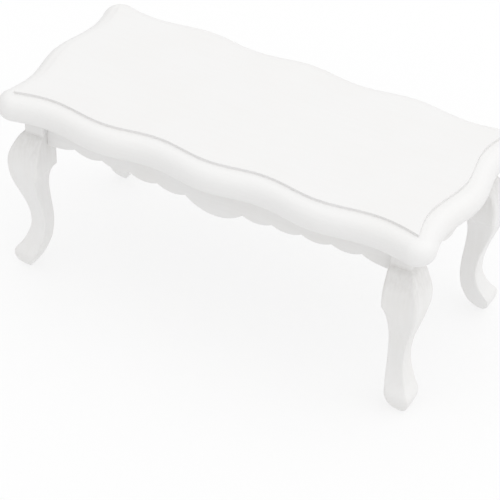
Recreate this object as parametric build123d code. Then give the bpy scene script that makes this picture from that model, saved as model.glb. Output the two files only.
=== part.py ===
"""Miniature dining table: a moulded top with a wavy edge on four scalloped aprons and four cabriole legs.

Origin on the floor under the middle of the table, +X along its length, +Z up, millimetres.
Every piece is drawn in the +X +Y quarter, where the corner sizes are easy to read, and then placed.
"""
from build123d import *
import math
import os

# ---- overall sizes
TABLE_LENGTH = 144.6        # over the middle bulge of the two short edges
TABLE_WIDTH = 68.2          # over the bulges of the two long edges
TABLE_HEIGHT = 64.0

# ---- top
TOP_THICKNESS = 9.0         # raised panel included
PANEL_STEP = 0.8            # how far the flat panel stands above the moulded rim
RIM_OVERHANG = 5.6          # rim's outermost edge outside the panel's step
RIM_BAND = 0.2              # narrow upright band left between the rim's two rounds
RIM_CORNER_RADIUS = 5.6     # plan radius where two edges meet
LONG_DIP = 2.2              # depth of the hollows in the long edges
SHORT_DIP = 2.6             # depth of the hollows in the short edges
SHORT_BULGE = 0.4           # how far the bulge of the short edge stands out past the corner

# ---- legs
END_INSET = 7.9             # from the overall short edge to the post's outer face
SIDE_INSET = 7.2            # from the overall long edge to the post's outer face
POST_WIDTH = 6.85           # square post at the top of a leg, and the back of its knee
SHOULDER_DROP = 5.5         # from the top's underside down to where the knee starts
SHOULDER_PROUD = 2.1        # the shoulder's ledge beyond the post's outer face
LEDGE_DROP = 8.1            # from the top's underside down to the shoulder's ledge
KNEE_PROUD = 4.2            # knee beyond the post's outer face
KNEE_DROP = 15.5            # from the top's underside down to the knee's fullest place
BLOCK_DROP = 18.1           # from the top's underside down to the lower corner at the back of the knee
CALF_BACK = 4.9             # back of the leg below the knee, measured in from the post's outer face
CALF_DROP = 25.5            # from the top's underside down to the calf
ANKLE_INSET = 0.4           # ankle's front, just inside the post's outer face
ANKLE_BACK = 5.6            # ankle's back, measured in from the post's outer face
ANKLE_HEIGHT = 16.5
FLARE_PROUD = 0.5           # start of the foot's flare, beyond the post's outer face
FLARE_HEIGHT = 12.0
LIP_PROUD = 3.2             # top of the toe's rounded lip, beyond the post's outer face
LIP_HEIGHT = 7.2
TOE_PROUD = 3.9             # tip of the toe beyond the post's outer face
TOE_HEIGHT = 5.9
SOLE_FRONT = 1.3            # flat sole, front edge beyond the post's outer face
SOLE_BACK = 0.6             # flat sole, back edge inside the post's outer face

# ---- aprons
APRON_THICKNESS = 3.0
LONG_SETBACK = 2.0          # long apron's face behind the post's outer face
SHORT_SETBACK = 0.6         # short apron's face behind the post's outer face
LONG_CUSP_DROP = 9.2        # first cusp beside the middle lobe, below the top's underside
SHORT_CUSP_DROP = 8.1
CUSP_RISE = 0.45            # each next cusp stands this much higher
LONG_SMALL_LOBES = 4        # small lobes to each side of the middle one
SHORT_SMALL_LOBES = 1
LOBE_DEPTH = 1.2            # small lobe below its cusps
LONG_MIDDLE_DEPTH = 3.6     # middle lobe below its cusps
SHORT_MIDDLE_DEPTH = 2.6
END_LOBE_DEPTH = 1.8        # last half lobe, where the apron meets the leg
TENON_LENGTH = 1.6
TENON_THICKNESS = 1.5
TENON_SHOULDER = 1.2        # from the apron's upper edge to the tenon
TENON_HEIGHT = 5.0
TENON_CLEARANCE = 0.05      # glue room round a tenon in its mortise

# ---- places that follow from the sizes above
UNDERSIDE = TABLE_HEIGHT - TOP_THICKNESS
RIM_THICKNESS = TOP_THICKNESS - PANEL_STEP
RIM_ROUND = (RIM_THICKNESS - RIM_BAND) / 2
PANEL_X = TABLE_LENGTH / 2 - RIM_OVERHANG - SHORT_BULGE
PANEL_Y = TABLE_WIDTH / 2 - RIM_OVERHANG
POST_X = TABLE_LENGTH / 2 - END_INSET
POST_Y = TABLE_WIDTH / 2 - SIDE_INSET

# The stations of an edge: how far along its half length, and how far it stands out there.
LONG_STATIONS = [(0, 0), (0.265, -LONG_DIP), (0.53, 0), (0.81, -LONG_DIP), (1, 0)]
SHORT_STATIONS = [(0, SHORT_BULGE), (0.61, SHORT_BULGE - SHORT_DIP), (1, 0)]
SAMPLES_PER_STATION = 5
SETTLE_PASSES = 40          # rounds in which the corner of an outline settles on both of its edges


def swell(along, stations):
    """How far an edge stands out at a share of its half length: half cosines, then a quarter into the corner."""
    along = abs(along)
    index = 0
    while index < len(stations) - 2 and along > stations[index + 1][0]:
        index += 1
    (start, low), (stop, high) = stations[index], stations[index + 1]
    share = (along - start) / (stop - start)
    turn = math.pi / 2 if index == len(stations) - 2 else math.pi
    rise = (1 - math.cos(turn * share)) / (1 - math.cos(turn))
    return low + (high - low) * rise


def long_edge(x, overhang):
    """The long edge's distance from the middle of the table at x."""
    return PANEL_Y + overhang + swell(x / PANEL_X, LONG_STATIONS)


def short_edge(y, overhang):
    """The short edge's distance from the middle of the table at y."""
    return PANEL_X + overhang + swell(y / PANEL_Y, SHORT_STATIONS)


def outline(overhang):
    """The top's outline, a given distance outside the panel's step, as a flat face with pointed corners."""
    corner_x, corner_y = PANEL_X + overhang, PANEL_Y + overhang
    for _ in range(SETTLE_PASSES):
        corner_x, corner_y = short_edge(corner_y, overhang), long_edge(corner_x, overhang)
    long_count = 4 * SAMPLES_PER_STATION
    short_count = 2 * SAMPLES_PER_STATION
    xs = [corner_x * step / long_count for step in range(-long_count, long_count + 1)]
    ys = [corner_y * step / short_count for step in range(-short_count, short_count + 1)]
    front = Spline([(x, -long_edge(x, overhang)) for x in xs])
    right = Spline([(short_edge(y, overhang), y) for y in ys])
    back = Spline([(x, long_edge(x, overhang)) for x in reversed(xs)])
    left = Spline([(-short_edge(y, overhang), y) for y in reversed(ys)])
    return make_face([front, right, back, left])


def table_top():
    """One board: a rim with a full round all the way round, and the flat panel a small step above it."""
    rim_plan = outline(RIM_OVERHANG)
    rim_plan = fillet(rim_plan.vertices(), RIM_CORNER_RADIUS)
    rim = extrude(rim_plan, RIM_THICKNESS)
    rim = fillet(rim.edges().group_by(Axis.Z)[-1], RIM_ROUND)
    rim = fillet(rim.edges().group_by(Axis.Z)[0], RIM_ROUND)
    panel = Pos(0, 0, RIM_ROUND) * extrude(outline(0), TOP_THICKNESS - RIM_ROUND)
    return Pos(0, 0, UNDERSIDE) * (rim + panel)


def leg_profile():
    """The leg's side view: first coordinate outwards from the post's outer face, second up from the floor."""
    down = (0, -1)
    shoulder = (0, UNDERSIDE - SHOULDER_DROP)
    ledge = (SHOULDER_PROUD, UNDERSIDE - LEDGE_DROP)
    knee = (KNEE_PROUD, UNDERSIDE - KNEE_DROP)
    ankle = (-ANKLE_INSET, ANKLE_HEIGHT)
    flare = (FLARE_PROUD, FLARE_HEIGHT)
    lip = (LIP_PROUD, LIP_HEIGHT)
    toe = (TOE_PROUD, TOE_HEIGHT)
    sole_front = (SOLE_FRONT, 0)
    sole_back = (-SOLE_BACK, 0)
    ankle_back = (-ANKLE_BACK, ANKLE_HEIGHT)
    calf_back = (-CALF_BACK, UNDERSIDE - CALF_DROP)
    block_corner = (-POST_WIDTH, UNDERSIDE - BLOCK_DROP)
    return make_face([
        Line((0, UNDERSIDE), shoulder),
        Spline(shoulder, ledge, knee, tangents=[(1, -0.5), down]),
        Spline(knee, ankle, tangents=[down, down]),
        Spline(ankle, flare, lip, toe, tangents=[down, down]),
        Spline(toe, sole_front, tangents=[down, (-1, -0.9)]),
        Line(sole_front, sole_back),
        Spline(sole_back, ankle_back, tangents=[(-1, 1), (0, 1)]),
        Spline(ankle_back, calf_back, tangents=[(0, 1), (0, 1)]),
        Spline(calf_back, block_corner, tangents=[(0, 1), (-1, 1)]),
        Line(block_corner, (-POST_WIDTH, UNDERSIDE)),
        Line((-POST_WIDTH, UNDERSIDE), (0, UNDERSIDE)),
    ])


def corner_leg():
    """The leg at the +X +Y corner: the same side view sawn from two faces of a square blank."""
    reach = 2 * TABLE_WIDTH
    from_front = Plane(origin=(POST_X, 0, 0), x_dir=(1, 0, 0), z_dir=(0, -1, 0)) * leg_profile()
    from_side = Plane(origin=(0, POST_Y, 0), x_dir=(0, 1, 0), z_dir=(1, 0, 0)) * leg_profile()
    blank = extrude(from_front, reach, both=True) & extrude(from_side, reach, both=True)
    return blank - corner_tenon_slots()


def corner_tenon_slots():
    """The two mortises in the +X +Y leg, each a tenon with glue room round it."""
    long_slot = tenon(TENON_CLEARANCE)
    short_slot = mirror(tenon(TENON_CLEARANCE), Plane(origin=(0, 0, 0), z_dir=(1, -1, 0)))
    return (Pos(POST_X - POST_WIDTH, POST_Y - LONG_SETBACK, UNDERSIDE) * long_slot
            + Pos(POST_X - SHORT_SETBACK, POST_Y - POST_WIDTH, UNDERSIDE) * short_slot)


def tenon(clearance):
    """A stub tenon along +X, from its shoulder at x = 0, set back from the apron's face at y = 0."""
    cheek = (APRON_THICKNESS - TENON_THICKNESS) / 2
    block = Box(TENON_LENGTH + clearance, TENON_THICKNESS + 2 * clearance, TENON_HEIGHT + 2 * clearance,
                align=(Align.MIN, Align.CENTER, Align.MAX))
    return Pos(0, -cheek - TENON_THICKNESS / 2, clearance - TENON_SHOULDER) * block


def lobed_edge(half_length, small_lobes, cusp_drop, middle_depth):
    """The lower edge of an apron: its middle lobe, and the smaller ones from there out to the +X leg."""
    pitch = half_length / (small_lobes + 2)
    cusps = [(pitch * (index + 1), CUSP_RISE * index - cusp_drop) for index in range(small_lobes + 1)]
    first_x, first_z = cusps[0]
    middle = ThreePointArc((-first_x, first_z), (0, first_z - middle_depth), (first_x, first_z))
    lobes = [lobe(start, stop) for start, stop in zip(cusps, cusps[1:])]
    last_x, last_z = cusps[-1]
    end = Spline((last_x, last_z), (half_length, last_z - END_LOBE_DEPTH), tangents=[(1, -0.6), (1, 0)])
    return middle, lobes + [end]


def lobe(start, stop):
    """One small lobe hanging between two cusps."""
    lowest = ((start[0] + stop[0]) / 2, (start[1] + stop[1]) / 2 - LOBE_DEPTH)
    return ThreePointArc(start, lowest, stop)


def apron(half_length, small_lobes, cusp_drop, middle_depth):
    """A scalloped board along X, its upper edge at z = 0 and its outer face at y = 0, a tenon at each end."""
    middle, right = lobed_edge(half_length, small_lobes, cusp_drop, middle_depth)
    left = [mirror(edge, Plane.YZ) for edge in right]
    corner_z = right[-1].position_at(1).Y
    rim = [
        Line((half_length, corner_z), (half_length, 0)),
        Line((half_length, 0), (-half_length, 0)),
        Line((-half_length, 0), (-half_length, corner_z)),
    ]
    board = extrude(Plane.XZ * make_face([middle] + right + left + rim), APRON_THICKNESS)
    return board + Pos(half_length, 0, 0) * tenon(0) + Pos(-half_length, 0, 0) * mirror(tenon(0), Plane.YZ)


def long_apron():
    """The apron under the +Y edge: a middle lobe, four small lobes to each side and a half lobe at each leg."""
    board = apron(POST_X - POST_WIDTH, LONG_SMALL_LOBES, LONG_CUSP_DROP, LONG_MIDDLE_DEPTH)
    return Pos(0, POST_Y - LONG_SETBACK, UNDERSIDE) * board


def short_apron():
    """The apron under the +X edge: a middle lobe, one small lobe to each side and a half lobe at each leg."""
    board = apron(POST_Y - POST_WIDTH, SHORT_SMALL_LOBES, SHORT_CUSP_DROP, SHORT_MIDDLE_DEPTH)
    return Pos(POST_X - SHORT_SETBACK, 0, UNDERSIDE) * Rot(0, 0, -90) * board


def build_nodes():
    """Every piece of the table in its place, by name."""
    leg = corner_leg()
    behind, beside = long_apron(), short_apron()
    return {
        "table_top": table_top(),
        "apron_front": mirror(behind, Plane.XZ),
        "apron_back": behind,
        "apron_left": mirror(beside, Plane.YZ),
        "apron_right": beside,
        "leg_front_left": Rot(0, 0, 180) * leg,
        "leg_front_right": mirror(leg, Plane.XZ),
        "leg_back_left": mirror(leg, Plane.YZ),
        "leg_back_right": leg,
    }


os.makedirs("parts", exist_ok=True)
for node, shape in build_nodes().items():
    export_step(shape, f"parts/{node}.step")
    print(node, round(shape.volume, 1))
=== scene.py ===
# %% [markdown]
# # A dolls' house dining table in satin white
# The object is a wooden table that would stand on the palm of a hand. Its top has a raised panel inside a wavy
# moulded rim, four scalloped aprons hang under it, and it stands on four curved cabriole legs. Nothing moves.
#
# The joinery was settled in CAD, so every size is already right. What is left for Blender is what paint and
# sandpaper do to such a piece: soft arrises, a coat that thins on the edges, brush marks, and a little of the
# wood's grain telegraphing through, with painted shade in the corners and under the rim. Lengths in this lesson are
# metres.

import math

import bmesh
import bpy
from mathutils import Matrix, Vector


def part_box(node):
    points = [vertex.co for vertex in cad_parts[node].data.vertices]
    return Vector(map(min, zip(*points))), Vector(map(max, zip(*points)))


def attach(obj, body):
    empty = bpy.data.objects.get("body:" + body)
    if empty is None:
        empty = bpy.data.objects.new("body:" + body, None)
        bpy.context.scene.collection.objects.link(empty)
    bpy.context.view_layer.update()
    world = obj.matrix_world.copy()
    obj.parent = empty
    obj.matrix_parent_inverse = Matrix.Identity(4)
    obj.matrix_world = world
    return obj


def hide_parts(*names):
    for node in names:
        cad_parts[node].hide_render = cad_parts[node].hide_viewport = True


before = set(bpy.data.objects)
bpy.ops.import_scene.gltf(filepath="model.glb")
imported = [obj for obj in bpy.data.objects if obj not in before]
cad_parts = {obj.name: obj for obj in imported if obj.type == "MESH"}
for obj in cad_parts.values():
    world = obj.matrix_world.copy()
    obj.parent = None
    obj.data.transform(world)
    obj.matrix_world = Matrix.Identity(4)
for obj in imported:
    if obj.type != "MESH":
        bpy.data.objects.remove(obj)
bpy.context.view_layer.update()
MILLIMETRE = 0.001

# %% [markdown]
# ## Where the eye is
# A small object seen from above its near corner, through a long lens, keeps its edges almost parallel. The camera
# could be aimed with a Track To constraint. Here its three axes are written into its matrix instead, because that
# also gives the slight roll of a camera held by hand.

# %% Camera
TURN = math.radians(29.3)           # to the right of the table's front
TILT = math.radians(37.6)           # above the floor
ROLL = math.radians(1.49)
DISTANCE = 0.662
AIM = Vector((-0.00965, 0.01442, 0.0))
SENSOR = 36.0                       # mm, as the focal length is
FOCAL_LENGTH = 151.2
NEAREST_SEEN = 0.01

backwards = Vector((math.sin(TURN) * math.cos(TILT), -math.cos(TURN) * math.cos(TILT), math.sin(TILT)))
level_right = Vector((math.cos(TURN), math.sin(TURN), 0.0))
level_up = backwards.cross(level_right)
camera_right = math.cos(ROLL) * level_right + math.sin(ROLL) * level_up
camera_up = backwards.cross(camera_right)

camera_data = bpy.data.cameras.new("camera")
camera_data.sensor_width = SENSOR
camera_data.lens = FOCAL_LENGTH
camera_data.clip_start = NEAREST_SEEN
camera = bpy.data.objects.new("camera", camera_data)
bpy.context.scene.collection.objects.link(camera)
camera.matrix_world = Matrix.Translation(AIM + backwards * DISTANCE) @ Matrix(
    (camera_right, camera_up, backwards)).transposed().to_4x4()
bpy.context.scene.camera = camera
print("camera at", [round(c, 3) for c in camera.matrix_world.translation])

# %% [markdown]
# ## Writing materials as sums
# A material is a graph of nodes. Drawing it by hand is clear on screen but long in a script, so a small class
# wraps a socket and lets `+`, `*` and `1 -` add the Math nodes. Every other node comes from one method, `node`,
# but for the Mix node, whose sockets share their names and so are reached by number in `blend`.

# %% Node helper
class Value:
    """A number that varies over a surface: the output socket of a node in a tree."""

    def __init__(self, graph, socket):
        self.graph = graph
        self.socket = socket

    def math(self, operation, *others):
        return self.graph.node("ShaderNodeMath", {"operation": operation}, [self, *others])

    def __add__(self, other):
        return self.math("ADD", other)

    def __rsub__(self, other):
        return self.graph.node("ShaderNodeMath", {"operation": "SUBTRACT"}, [other, self])

    def __mul__(self, other):
        return self.math("MULTIPLY", other)

    __radd__ = __add__
    __rmul__ = __mul__


class Graph:
    """The node tree of a material, or of the world."""

    def __init__(self, owner):
        owner.use_nodes = True
        self.tree = owner.node_tree
        self.shader = self.tree.nodes.get("Principled BSDF")

    def put(self, socket, value):
        """Gives a socket a link or a constant."""
        if isinstance(value, Value):
            self.tree.links.new(value.socket, socket)
        else:
            socket.default_value = value

    def node(self, kind, settings=None, values=(), output=0):
        """One node: its settings first, then what its sockets take, by number or by name."""
        made = self.tree.nodes.new(kind)
        for key, setting in (settings or {}).items():
            setattr(made, key, setting)
        pairs = values.items() if isinstance(values, dict) else enumerate(values)
        for key, value in pairs:
            self.put(made.inputs[key], value)
        return Value(self, made.outputs[output])

    def blend(self, share, first, second):
        """Two colours mixed by a share."""
        made = self.tree.nodes.new("ShaderNodeMix")
        made.data_type = "RGBA"
        self.put(made.inputs[0], share)
        self.put(made.inputs[6], first)
        self.put(made.inputs[7], second)
        return Value(self, made.outputs[2])

    def ramp(self, value, low, high, floor=0.0, ceiling=1.0):
        """A value carried smoothly from one range to another, and held at its ends."""
        return self.node("ShaderNodeMapRange", {"interpolation_type": "SMOOTHSTEP"},
                         {"Value": value, "From Min": low, "From Max": high,
                          "To Min": floor, "To Max": ceiling})


print("helper ready:", Graph.__name__, "and", Value.__name__)

# %% [markdown]
# ## Light for a white thing on white
# White paint on a white ground is read only by its shading, so the light must be soft but not the same from
# everywhere. A tent of white cloth gives that: it is brightest overhead, a little brighter to the right than
# to the left, and dimmest at the horizon, so whatever sits under the rim goes gently grey. The tent could be
# many area lights. Here it is the world's own brightness, which rises with the height and the rightness of
# the direction looked in, and one weak softbox gives the satin paint something to glint in.

# %% Lights
TENT_LOW = 0.64                     # brightness at the horizon
TENT_RISE = 0.75                    # how much brighter it is overhead
TENT_RIGHT = 0.20                   # how much brighter it is on the right
SOFTBOX_SIDE = 0.9
SOFTBOX_WATTS = 0.5
SOFTBOX_PLACE = Vector((0.95, 0.20, 0.80))

world = bpy.data.worlds.new("white_tent")
bpy.context.scene.world = world
tent = Graph(world)
looked_in = tent.node("ShaderNodeTexCoord")
parts = tent.node("ShaderNodeSeparateXYZ", {}, [looked_in])
rightness = Value(tent, parts.socket.node.outputs["X"])
overhead = Value(tent, parts.socket.node.outputs["Z"])
background = tent.tree.nodes["Background"]
background.inputs["Color"].default_value = (1.0, 1.0, 1.0, 1.0)
tent.put(background.inputs["Strength"], TENT_LOW + overhead * TENT_RISE + rightness * TENT_RIGHT)

softbox_data = bpy.data.lights.new("softbox", "AREA")
softbox_data.size = SOFTBOX_SIDE
softbox_data.energy = SOFTBOX_WATTS
softbox = bpy.data.objects.new("softbox", softbox_data)
bpy.context.scene.collection.objects.link(softbox)
softbox.location = SOFTBOX_PLACE
softbox.rotation_euler = SOFTBOX_PLACE.to_track_quat("Z", "Y").to_euler()
bpy.context.scene.view_settings.view_transform = "Standard"
print("tent from", TENT_LOW, "to", TENT_LOW + TENT_RISE, "and a softbox of", SOFTBOX_WATTS, "W")

# %% [markdown]
# ## The paint
# A hobby maker's white is a satin acrylic brushed over primed wood, in two or three coats. Close up it isn't
# one white:
# - the grain of the timber lies under it as long faint ridges,
# - the brush leaves finer lines along each piece,
# - the film levels into a soft orange-peel,
# - it is painted a touch darker and creamier in creases, as painted shade, and thins on arrises, where it looks
#   greyer,
# - handling leaves slightly duller and glossier patches,
# - where a saw crossed the fibres, at the legs' shoulders, the end grain shows as grey streaks, and the whole
#   shoulder is painted grey as well, as the shade under the rim.
#
# The patterns are read from Object coordinates, so they stay put on the wood and are of real size. The creases
# and arrises come from two attributes that the sanding step below writes into each mesh, because only the mesh
# knows where its edges were. The finishes are one recipe with the grain turned along each piece.

# %% Paint recipe
WHITE = (0.800, 0.796, 0.791, 1.0)
# The second white is the paint's own creamier tone in patches, and it is also the painted shade in creases. The
# third tone is the wood showing through, and it is also the painted shade at the legs' shoulders.
CREAM_AND_SHADE = (0.770, 0.757, 0.735, 1.0)
WOOD_AND_SHADE_TONE = (0.60, 0.585, 0.565, 1.0)

# How fine each pattern is: the larger the number, the smaller the pattern.
GRAIN_FINENESS = 700.0
FIBRE_FINENESS = 1100.0
PEEL_FINENESS = 1300.0
BRUSH_FINENESS = 2600.0
PATCH_FINENESS = 60.0

# How far the colour goes to cream, and to painted shade in creases, and how far the wood, the wear and the painted
# shade under the rim come through.
SHADE_IN_CREASES = 0.25
WORN_ARRIS = 0.10
# Painted shade under the rim, at the legs' shoulders: darker over all of that zone, with the end grain's streaks on
# top of that.
SHADE_ON_END_GRAIN = 0.25                     # over all of the end grain
END_GRAIN_STREAKS = 0.35                  # and along its fibres on top of that

# Roughness of the film, and what each pattern adds to it.
SATIN = 0.36
DULL_PATCHES = 0.10
DULL_BRUSH = 0.05
DULL_VALLEYS = 0.06
DULL_END_GRAIN = 0.12

# Height of each pattern, as a share of the film's relief.
RIDGE_HEIGHT = 0.5
PEEL_HEIGHT = 0.6
STREAK_HEIGHT = 0.8
RELIEF = 0.03 * MILLIMETRE
RELIEF_STRENGTH = 0.4
ACRYLIC_IOR = 1.48


def satin_white(name, stretch, grain_share, brush_share, patch_share, end_grain_and_shade_share=0.0):
    """Brushed satin white over wood, with the grain stretched along the axis whose stretch is small."""
    material = bpy.data.materials.new(name)
    graph = Graph(material)
    where = graph.node("ShaderNodeTexCoord", output=3)
    along = graph.node("ShaderNodeMapping", {}, {"Vector": where, "Scale": stretch})

    def noise(place, fineness, detail, **more):
        return graph.node("ShaderNodeTexNoise", {}, {"Vector": place, "Scale": fineness, "Detail": detail, **more})

    def marked(word):
        return graph.node("ShaderNodeAttribute", {"attribute_name": word}, output=2)

    grain = noise(along, GRAIN_FINENESS, 5.0, Roughness=0.6, Distortion=0.3)
    ridges = graph.ramp(grain, 0.38, 0.62)
    valleys = 1 - ridges
    brush = noise(along, BRUSH_FINENESS, 2.0)
    peel = noise(where, PEEL_FINENESS, 1.0)
    patches = noise(where, PATCH_FINENESS, 3.0)
    streaks = graph.ramp(noise(along, FIBRE_FINENESS, 1.0), 0.30, 0.72)
    arris, crease, end_grain_and_shade = marked("arris"), marked("crease"), marked("end_grain_and_rim_shade")

    # Painted shade: creases are painted darker and creamier. The patches are the paint's own uneven tone.
    cream_and_crease_shade = graph.ramp(patches, 0.35, 0.7) * patch_share + crease * SHADE_IN_CREASES
    # Painted shade: the shoulder under the rim is darkened as a whole, beside the real grain valleys and worn
    # arrises.
    wood_wear_and_shade = (valleys * grain_share + arris * WORN_ARRIS * patches
            + end_grain_and_shade * (SHADE_ON_END_GRAIN + streaks * END_GRAIN_STREAKS) * end_grain_and_shade_share)
    tone = graph.blend(wood_wear_and_shade, graph.blend(cream_and_crease_shade, WHITE, CREAM_AND_SHADE), WOOD_AND_SHADE_TONE)
    graph.put(graph.shader.inputs["Base Color"], tone)

    dullness = (SATIN + patches * DULL_PATCHES + brush * DULL_BRUSH + valleys * DULL_VALLEYS
                + end_grain_and_shade * DULL_END_GRAIN)
    graph.put(graph.shader.inputs["Roughness"], dullness)

    height = ridges * RIDGE_HEIGHT + brush * brush_share + peel * PEEL_HEIGHT + streaks * end_grain_and_shade * STREAK_HEIGHT
    bump = graph.node("ShaderNodeBump", {}, {"Strength": RELIEF_STRENGTH, "Distance": RELIEF, "Height": height})
    graph.put(graph.shader.inputs["Normal"], bump)
    graph.shader.inputs["IOR"].default_value = ACRYLIC_IOR
    return material


ALONG_GRAIN = 0.06                  # how slowly the grain changes along a piece, against across it
GRAIN_ON_X = (ALONG_GRAIN, 1.0, 1.0)
GRAIN_ON_Y = (1.0, ALONG_GRAIN, 1.0)
GRAIN_ON_Z = (1.0, 1.0, ALONG_GRAIN)

top_paint = satin_white("top_paint", GRAIN_ON_X, grain_share=0.018, brush_share=0.3, patch_share=0.15)
board = {"grain_share": 0.06, "brush_share": 0.5, "patch_share": 0.4}
long_apron_paint = satin_white("long_apron_paint", GRAIN_ON_X, **board)
short_apron_paint = satin_white("short_apron_paint", GRAIN_ON_Y, **board)
leg_paint = satin_white("leg_paint", GRAIN_ON_Z, grain_share=0.055, brush_share=0.6, patch_share=0.4, end_grain_and_shade_share=0.6)
print("finishes", [m.name for m in bpy.data.materials])

# %% [markdown]
# ## Sanding the arrises
# CAD leaves every edge knife sharp. On the real table each one was broken with fine paper and then buried in
# paint, and that narrow rounded line is what catches the light. A Bevel modifier would do for the view, but
# here the bevel goes into the mesh, so that the paint can be told where it is. A copy of the CAD piece is
# merged, because its triangles are loose, its flat parts are dissolved into whole faces, and then the outside
# corners (arrises) and the inside corners (creases) are rounded, each with its own radius. All faces are then
# smooth, and a Weighted Normal modifier lets the large ones decide, so that the flats stay flat.

# %% Sanding helper
MERGE = 0.001 * MILLIMETRE
FLAT = math.radians(0.6)            # faces that turn by less are one face
SHARP = math.radians(32)            # edges that turn by more are rounded
CROWDED = 0.35 * MILLIMETRE         # points of an arris closer than this would tangle its round
ROUND_SEGMENTS = 3


def from_cad(node):
    """A CAD piece's mesh, merged from its loose triangles."""
    mesh = bmesh.new()
    mesh.from_mesh(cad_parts[node].data)
    bmesh.ops.remove_doubles(mesh, verts=mesh.verts, dist=MERGE)
    return mesh


def rounded(mesh, edges, radius, layer, held=False):
    """Rounds edges, and marks the middle of each round in a layer. A held round may not pass its neighbours."""
    made = bmesh.ops.bevel(mesh, geom=edges, offset=radius, offset_type="OFFSET", segments=ROUND_SEGMENTS,
                           profile=0.5, affect="EDGES", clamp_overlap=held, material=-1, loop_slide=True)
    strip = set(made["faces"])
    for vertex in made["verts"]:
        if all(face in strip for face in vertex.link_faces):
            vertex[layer] = 1.0


def sharp_edges(mesh, convex):
    """The sharp edges that stick out, or the ones that are hollow."""
    return [edge for edge in mesh.edges
            if edge.is_manifold and edge.calc_face_angle() > SHARP and edge.is_convex == convex]


def sanded(node, arris_radius, crease_radius, held=False):
    """A CAD piece's mesh with its arrises and creases rounded and marked for the paint."""
    mesh = from_cad(node)
    bmesh.ops.dissolve_limit(mesh, angle_limit=FLAT, verts=mesh.verts, edges=mesh.edges)
    sharp = {end for edge in sharp_edges(mesh, True) + sharp_edges(mesh, False) for end in edge.verts}
    bmesh.ops.remove_doubles(mesh, verts=list(sharp), dist=CROWDED)
    bmesh.ops.dissolve_limit(mesh, angle_limit=FLAT, verts=mesh.verts, edges=mesh.edges)
    marks = [mesh.verts.layers.float.new(word) for word in ("arris", "crease")]
    arrises = sharp_edges(mesh, True)
    rounded(mesh, arrises, arris_radius, marks[0], held)
    creases = sharp_edges(mesh, False)
    rounded(mesh, creases, crease_radius, marks[1], held)
    print(node, len(arrises), "arris edges,", len(creases), "crease edges")
    return mesh


def placed(mesh, name, node, paint):
    """The finished piece: its paint, its body and the CAD node it stands for."""
    bmesh.ops.recalc_face_normals(mesh, faces=mesh.faces)
    for face in mesh.faces:
        face.smooth = True
    for edge in mesh.edges:
        edge.smooth = not (edge.is_manifold and edge.calc_face_angle() > SHARP)
    data = bpy.data.meshes.new(name)
    mesh.to_mesh(data)
    mesh.free()
    data.materials.append(paint)
    piece = bpy.data.objects.new(name, data)
    bpy.context.scene.collection.objects.link(piece)
    even = piece.modifiers.new("flat_parts_stay_flat", "WEIGHTED_NORMAL")
    even.keep_sharp = True
    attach(piece, "root")
    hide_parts(node)
    print(name, len(data.polygons), "faces")
    return piece


print("rounds of", ROUND_SEGMENTS, "faces on every edge over", round(math.degrees(SHARP)), "degrees")

# %% [markdown]
# ## Four cabriole legs
# Each leg was sawn from a square blank along the same curve on two faces, so it is square all the way down and
# its arrises run in long S curves from the knee to the toe. Bevelling those curves would fight with the many
# small triangles beside them. It is cleaner to build the leg as the square it is: one square with rounded
# corners, extruded upwards ring by ring, each ring stretched to the size that the CAD leg has at that height.
# The corners grow with the ring, so the knee and the toe are rounder than the thin ankle, as sandpaper leaves
# them. Just under the rim, at the shoulder, the saw went steeply across the fibres: that's end grain. The rim's
# shade falls there too, and it is painted into the colour of that end grain.

# %% A square with rounded corners
CORNER_SHARE = 0.085                # corner round as a share of the square's side
CORNER_SEGMENTS = 4
SIDE_CUTS = 4                       # extra points along each side, so that the toe can be smoothed evenly


def rounded_square():
    """The leg's section: a ring of edges one unit wide, with its corners marked as arrises."""
    ring = bmesh.new()
    arris = ring.verts.layers.float.new("arris")
    ring.verts.layers.float.new("end_grain_and_rim_shade")
    bmesh.ops.create_grid(ring, x_segments=1, y_segments=1, size=0.5)
    bmesh.ops.bevel(ring, geom=ring.verts[:], offset=CORNER_SHARE, offset_type="OFFSET",
                    segments=CORNER_SEGMENTS, profile=0.5, affect="VERTICES", material=-1)
    sides = [edge for edge in ring.edges if edge.calc_length() > 0.5]
    bmesh.ops.subdivide_edges(ring, edges=sides, cuts=SIDE_CUTS)
    bmesh.ops.delete(ring, geom=ring.faces[:], context="FACES_ONLY")
    for vertex in ring.verts:
        near_corner = min(abs(vertex.co.x), abs(vertex.co.y)) > 0.5 - 0.9 * CORNER_SHARE
        vertex[arris] = 1.0 if near_corner else 0.0
    return ring


square = rounded_square()
print("one ring has", len(square.verts), "points")
square.free()

# %% [markdown]
# A level cut through the CAD leg gives the square at that height. The cuts are half a millimetre apart, closer
# than the eye can tell on so small a leg, with one more right at the corner behind the knee.

# %% Reading the leg's size
RING_STEP = 0.5 * MILLIMETRE
BACK_CORNER = 36.9 * MILLIMETRE     # height of the corner behind the knee
END_GAP = 0.01 * MILLIMETRE         # the first and last cuts are made this far inside the ends


def squares_of(node):
    """Matrices that turn the unit square into the leg's section, from the sole to the top."""
    cad = from_cad(node)
    low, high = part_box(node)
    count = round((high.z - low.z) / RING_STEP)
    heights = sorted([low.z + (high.z - low.z) * step / count for step in range(count + 1)] + [BACK_CORNER])
    sections = []
    for height in heights:
        level = min(max(height, low.z + END_GAP), high.z - END_GAP)
        cut = bmesh.ops.bisect_plane(cad, geom=cad.verts[:] + cad.edges[:] + cad.faces[:],
                                     plane_co=(0, 0, level), plane_no=(0, 0, 1))["geom_cut"]
        points = [part.co for part in cut if isinstance(part, bmesh.types.BMVert)]
        left, right = min(p.x for p in points), max(p.x for p in points)
        front, back = min(p.y for p in points), max(p.y for p in points)
        centre = Vector(((left + right) / 2, (front + back) / 2, height))
        sections.append(Matrix.Translation(centre) @ Matrix.Diagonal((right - left, back - front, 1, 1)))
    cad.free()
    return sections


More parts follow.
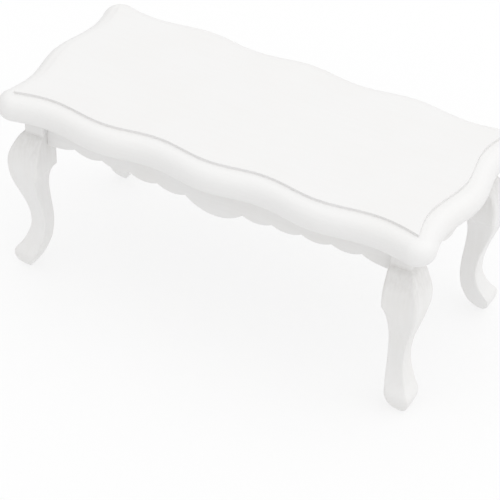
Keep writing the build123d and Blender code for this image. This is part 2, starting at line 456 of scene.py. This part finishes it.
print("a leg is cut at", len(squares_of("leg_front_left")), "heights")

# %% [markdown]
# The ring is now carried from section to section. Last, the toe is smoothed a few times, which pulls its nose
# in more than its flat sides, and the two open ends are closed.

# %% Legs
# The shoulder carries the end grain's streaks and a painted shade from the rim above it. The post over it is
# painted a little grey as shade as well.
SHOULDER_TOP = 50.0 * MILLIMETRE
SHOULDER_LOW = 38.5 * MILLIMETRE
SHOULDER_RISE = 1.6                 # how soon the end grain shows in full
POST_SHADE_AND_GRAIN = 0.25
TOE_TOP = 9.0 * MILLIMETRE
TOE_PASSES = 7
TOE_PULL = 0.5                      # how far each pass takes a point to the middle of its neighbours


def end_grain_and_shade_at(height):
    """How much of the end grain's tone and of the rim's painted shade a height of the leg gets: all of it at the
    shoulder, none at the knee.
    """
    if height > SHOULDER_TOP:
        return POST_SHADE_AND_GRAIN
    share = (height - SHOULDER_LOW) / (SHOULDER_TOP - SHOULDER_LOW)
    return max(0.0, min(1.0, SHOULDER_RISE * share))


def cabriole_leg(node):
    """The leg as rings of a rounded square."""
    leg = rounded_square()
    sections = squares_of(node)
    ring = leg.verts[:]
    bmesh.ops.transform(leg, matrix=sections[0], verts=ring)
    edges = leg.edges[:]
    for below, above in zip(sections, sections[1:]):
        made = bmesh.ops.extrude_edge_only(leg, edges=edges)["geom"]
        ring = [part for part in made if isinstance(part, bmesh.types.BMVert)]
        edges = [part for part in made if isinstance(part, bmesh.types.BMEdge)]
        bmesh.ops.transform(leg, matrix=above @ below.inverted(), verts=ring)
    toe = [vertex for vertex in leg.verts if END_GAP < vertex.co.z < TOE_TOP]
    for _ in range(TOE_PASSES):
        bmesh.ops.smooth_vert(leg, verts=toe, factor=TOE_PULL, use_axis_x=True, use_axis_y=True)
    bmesh.ops.holes_fill(leg, edges=leg.edges, sides=0)
    end_grain_and_rim_shade = leg.verts.layers.float["end_grain_and_rim_shade"]
    for vertex in leg.verts:
        vertex[end_grain_and_rim_shade] = end_grain_and_shade_at(vertex.co.z)
    return leg


for corner in ("front_left", "front_right", "back_left", "back_right"):
    node = "leg_" + corner
    placed(cabriole_leg(node), "cabriole_" + node, node, leg_paint)

# %% [markdown]
# ## Four scalloped aprons
# Thin boards on edge, fretsawn along the bottom. They could be drawn again as curves with a thickness, but the
# CAD boards have every lobe in its place already, so they are only sanded and painted. A fretsaw leaves crisp
# cusps between the lobes, so the arrises are only just broken.

# %% Aprons
APRON_ARRIS = 0.22 * MILLIMETRE
APRON_CREASE = 0.12 * MILLIMETRE

for side, paint in (("front", long_apron_paint), ("back", long_apron_paint),
                    ("left", short_apron_paint), ("right", short_apron_paint)):
    node = "apron_" + side
    placed(sanded(node, APRON_ARRIS, APRON_CREASE), "scalloped_" + node, node, paint)

# %% [markdown]
# ## The moulded top
# The router that ran round the top left a flat panel with a step of less than a millimetre. Paint rounds the
# upper edge of the step and fills its foot, and the line it leaves, darkened by painted shade in the foot, is the
# table's main drawing. The rim could be a profile swept along the wavy outline, but its full round is in the CAD
# piece already. The step is low, so here the rounds are held back where they would run into each other.

# %% Top
STEP_ARRIS = 0.25 * MILLIMETRE
STEP_CREASE = 0.20 * MILLIMETRE

top = sanded("table_top", STEP_ARRIS, STEP_CREASE, held=True)
placed(top, "moulded_top", "table_top", top_paint)

# %% [markdown]
# ## The ground it stands on
# A plain pale sheet, far larger than the table. A brighter light would whiten a plain sheet, but it would bleach
# the table too. So the sheet glows a little, as a light table does, and the shadows on it stay faint. Seen from
# below it is clear, so that the underside of the table can be looked at too.

# %% Floor
FLOOR_HALF = 3.0
PAPER_TONE = (0.25, 0.25, 0.25, 1.0)
PAPER_GLOW = 0.70
PAPER_ROUGHNESS = 0.9
PAPER_GLOSS = 0.2

floor_mesh = bmesh.new()
bmesh.ops.create_grid(floor_mesh, x_segments=1, y_segments=1, size=FLOOR_HALF)
floor_data = bpy.data.meshes.new("floor")
floor_mesh.to_mesh(floor_data)
floor_mesh.free()
floor = bpy.data.objects.new("floor", floor_data)
bpy.context.scene.collection.objects.link(floor)

paper = bpy.data.materials.new("matt_paper")
paper_graph = Graph(paper)
paper_graph.shader.inputs["Base Color"].default_value = PAPER_TONE
paper_graph.shader.inputs["Roughness"].default_value = PAPER_ROUGHNESS
paper_graph.shader.inputs["Specular IOR Level"].default_value = PAPER_GLOSS
paper_graph.shader.inputs["Emission Color"].default_value = (1.0, 1.0, 1.0, 1.0)
paper_graph.shader.inputs["Emission Strength"].default_value = PAPER_GLOW
see_through = paper_graph.node("ShaderNodeBsdfTransparent")
from_below = Value(paper_graph, paper_graph.tree.nodes.new("ShaderNodeNewGeometry").outputs["Backfacing"])
one_sided = paper_graph.node("ShaderNodeMixShader", {}, [
    from_below, Value(paper_graph, paper_graph.shader.outputs["BSDF"]), see_through])
paper_graph.put(paper_graph.tree.nodes["Material Output"].inputs["Surface"], one_sided)
floor_data.materials.append(paper)
print("floor", 2 * FLOOR_HALF, "m wide")
